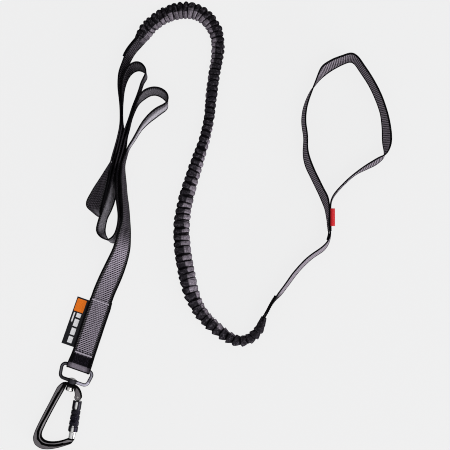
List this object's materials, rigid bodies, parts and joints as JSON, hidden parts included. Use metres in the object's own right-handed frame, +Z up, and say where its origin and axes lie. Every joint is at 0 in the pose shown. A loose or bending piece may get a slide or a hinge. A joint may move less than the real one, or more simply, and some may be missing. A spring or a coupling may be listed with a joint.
{
  "type": "shock absorbing lanyard",
  "caption": "Elastic tether laid out flat: webbing folded in a bundle, a ruched bungee, a hand loop with a sewn join, and a swivel eye with an auto-lock carabiner.",
  "frame": {"origin": "on the surface the lanyard lies on, under the middle of the layout's bounding box", "axes": "+Z up off the surface; +X across the layout, from the folded bundle to the hand loop; +Y along it, from the carabiner to the bungee's arch"},
  "size_m": [0.4398, 0.5538, 0.0263],
  "materials": {
    "webbing": "woven nylon, charcoal grey with darker edges",
    "bungee_cover": "ruched tubular webbing, charcoal grey with darker edges",
    "elastic_core": "natural rubber",
    "thread": "light grey bar-tack thread",
    "label_fabric": "smooth black label tape",
    "red_fabric": "red tape",
    "polished_steel": "polished stainless steel",
    "washer_plastic": "nylon washer",
    "gunmetal": "grey anodised, satin",
    "bare_aluminium": "polished",
    "black_anodised": "black anodised, knurled bands",
    "spring_steel": "bright drawn"
  },
  "bodies": {
    "webbing": {"main_webbing": "webbing", "sewn_end_stitching": "thread", "label_tab": "label_fabric", "bungee_cover": "bungee_cover", "elastic_core": "elastic_core", "upper_splice_tab": "webbing", "upper_splice_stitching": "thread"},
    "eye": {"swivel_eye": "polished_steel", "swivel_stud": "polished_steel"},
    "carabiner": {"carabiner_body": "gunmetal", "swivel_washer": "washer_plastic", "gate_pivot_rivet": "spring_steel"},
    "gate": {"gate_barrel": "bare_aluminium", "gate_plunger": "spring_steel", "gate_spring": "spring_steel", "sleeve_retaining_ring": "spring_steel"},
    "sleeve": {"lock_sleeve": "black_anodised", "sleeve_spring": "spring_steel"},
    "handle": {"handle_webbing": "webbing", "loop_stitching": "thread", "red_tab": "red_fabric", "lower_splice_tab": "webbing", "lower_splice_stitching": "thread"}
  },
  "joints": [
    {"name": "eye_hinge", "type": "hinge", "parent": "webbing", "child": "eye", "pos_m": [-0.16559, -0.17535, 0.0055], "axis": [0.9438, -0.3305, 0], "range_deg": [-100, 100]},
    {"name": "carabiner_swivel", "type": "hinge", "parent": "eye", "child": "carabiner", "pos_m": [-0.17253, -0.19517, 0.0055], "axis": [-0.3305, -0.9438, 0], "continuous": true},
    {"name": "gate_hinge", "type": "hinge", "parent": "carabiner", "child": "gate", "pos_m": [-0.16437, -0.21243, 0.0055], "axis": [0, 0, -1], "range_deg": [0, 28], "stiffness_Nm_per_rad": 0.05, "springref_deg": -20.05},
    {"name": "sleeve_twist", "type": "hinge", "parent": "gate", "child": "sleeve", "pos_m": [-0.16437, -0.21243, 0.0055], "axis": [-0.1582, -0.9874, 0], "range_deg": [0, 90], "stiffness_Nm_per_rad": 0.01, "springref_deg": -17.19},
    {"name": "bungee_stretch", "type": "slide", "parent": "webbing", "child": "handle", "axis": [0.178, -0.984, 0], "range_m": [0, 0.15], "stiffness_N_per_m": 250, "deforming": ["bungee_cover", "elastic_core"]}
  ]
}
